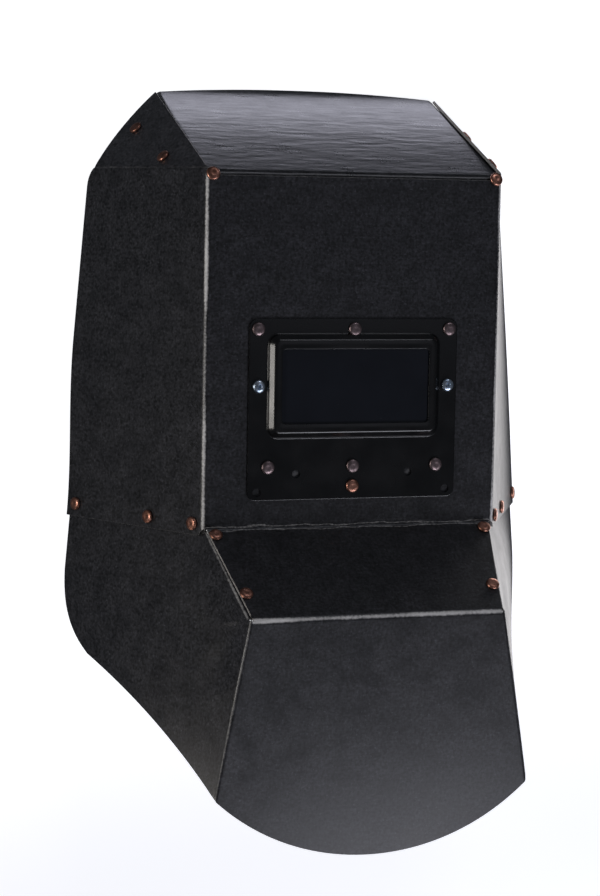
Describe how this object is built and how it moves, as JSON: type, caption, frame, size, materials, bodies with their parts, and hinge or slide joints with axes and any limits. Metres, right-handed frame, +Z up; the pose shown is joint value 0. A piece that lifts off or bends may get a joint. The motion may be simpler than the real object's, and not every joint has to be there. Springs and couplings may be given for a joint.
{
  "type": "welding mask",
  "caption": "Folded black fibreboard welding mask with a sloping crown, a chin step and bib, a steel window plate with dark filter glass, and copper rivets; it lies on its rear rim, face up.",
  "frame": {"origin": "on the surface that the mask lies on, under the centre of its bounding box", "axes": "+Y towards the top of the head, along the mask's length; +Z up, out of the face; +X towards the wearer's left"},
  "size_m": [0.3144, 0.4802, 0.1662],
  "materials": {
    "fibreboard": "black pressed fibreboard, satin, with a fine grain and pale worn folds",
    "painted_steel": "black semi-gloss enamel on pressed steel",
    "filter_glass": "polished, nearly black welding filter",
    "copper": "brownish copper plating on rivets, slightly tarnished",
    "zinc": "bright bluish zinc plating on screws and nuts"
  },
  "bodies": {
    "root": {"main_shell": "fibreboard", "crown_panel": "fibreboard", "window_plate": "painted_steel", "filter_glass": "filter_glass", "glass_holder": "painted_steel", "chin_rivet_1_left": "copper", "chin_rivet_1_right": "copper", "chin_rivet_2_left": "copper", "chin_rivet_2_right": "copper", "corner_rivet_left": "copper", "corner_rivet_right": "copper", "glass_nut_left": "zinc", "glass_nut_right": "zinc", "glass_screw_left": "zinc", "glass_screw_right": "zinc", "hip_rivet_1_left": "copper", "hip_rivet_1_right": "copper", "hip_rivet_2_left": "copper", "hip_rivet_2_right": "copper", "plate_rivet_bottom_middle": "copper", "plate_rivet_lower_left": "copper", "plate_rivet_lower_middle": "copper", "plate_rivet_lower_right": "copper", "plate_rivet_upper_left": "copper", "plate_rivet_upper_middle": "copper", "plate_rivet_upper_right": "copper", "seam_rivet_1_left": "copper", "seam_rivet_1_right": "copper", "seam_rivet_2_left": "copper", "seam_rivet_2_right": "copper", "seam_rivet_3_left": "copper", "seam_rivet_3_right": "copper"}
  },
  "joints": []
}
